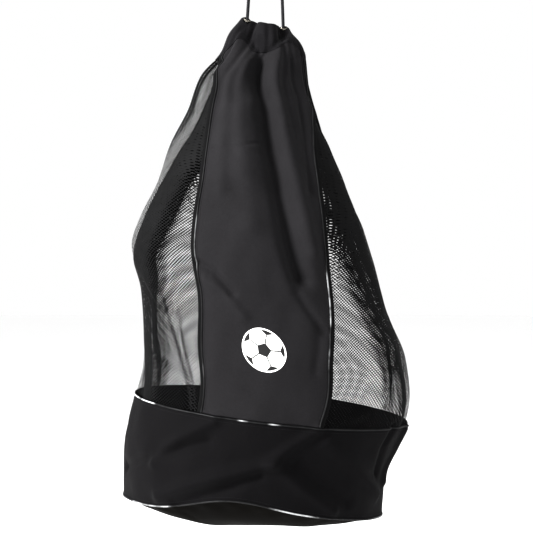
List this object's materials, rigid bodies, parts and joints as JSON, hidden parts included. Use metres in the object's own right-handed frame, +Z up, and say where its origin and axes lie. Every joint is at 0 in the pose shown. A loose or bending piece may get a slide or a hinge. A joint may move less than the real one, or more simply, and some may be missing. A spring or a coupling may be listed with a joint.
{
  "type": "mesh ball bag",
  "caption": "Drawstring ball bag with a round base, a solid band, solid front and back panels and mesh sides, hanging by its drawcord.",
  "frame": {"origin": "inside top of the drawcord's hanging loop, where a hook carries it", "axes": "+Z up, -Y towards the front panel, +X to the bag's right as seen from its front"},
  "size_m": [0.4851, 0.4364, 0.9926],
  "materials": {
    "panel_cloth": "woven polyester, matt",
    "band_cloth": "woven polyester, matt",
    "mesh": "knitted polyester mesh",
    "tape": "woven binding tape",
    "piping": "retroreflective coated piping",
    "cord": "braided polyester cord",
    "eyelet_metal": "plated, slightly dull",
    "base_coated": "coated woven polyester, satin",
    "print": "screen-printed ink"
  },
  "bodies": {
    "drawcord": {"drawcord_loop": "cord"},
    "bag_upper": {"drawcord_channel_run": "cord", "collar_outer": "panel_cloth", "collar_lining": "panel_cloth", "eyelet_left": "eyelet_metal", "eyelet_washer_left": "eyelet_metal", "eyelet_right": "eyelet_metal", "eyelet_washer_right": "eyelet_metal", "front_panel": "panel_cloth", "back_panel": "panel_cloth", "mesh_panel_left": "mesh", "mesh_panel_right": "mesh", "piping_front_left": "piping", "piping_front_right": "piping", "piping_back_left": "piping", "piping_back_right": "piping", "seam_tape_front_left": "tape", "seam_tape_front_right": "tape", "seam_tape_back_left": "tape", "seam_tape_back_right": "tape", "emblem_print": "print"},
    "bag_base": {"base_band_front": "band_cloth", "base_band_back": "band_cloth", "band_piping": "piping", "base_piping": "piping", "base_disc": "base_coated"}
  },
  "joints": [
    {"name": "bag_swing", "type": "hinge", "parent": "drawcord", "child": "bag_upper", "pos_m": [0.00037, 0, -0.14197], "axis": [0.9751, 0, -0.2215], "range_deg": [-30, 12]},
    {"name": "bag_collapse", "type": "slide", "parent": "bag_upper", "child": "bag_base", "axis": [0, 0, 1], "range_m": [0, 0.3], "deforming": ["front_panel", "back_panel", "mesh_panel_left", "mesh_panel_right", "piping_front_left", "piping_front_right", "piping_back_left", "piping_back_right", "seam_tape_front_left", "seam_tape_front_right", "seam_tape_back_left", "seam_tape_back_right", "emblem_print"]}
  ]
}
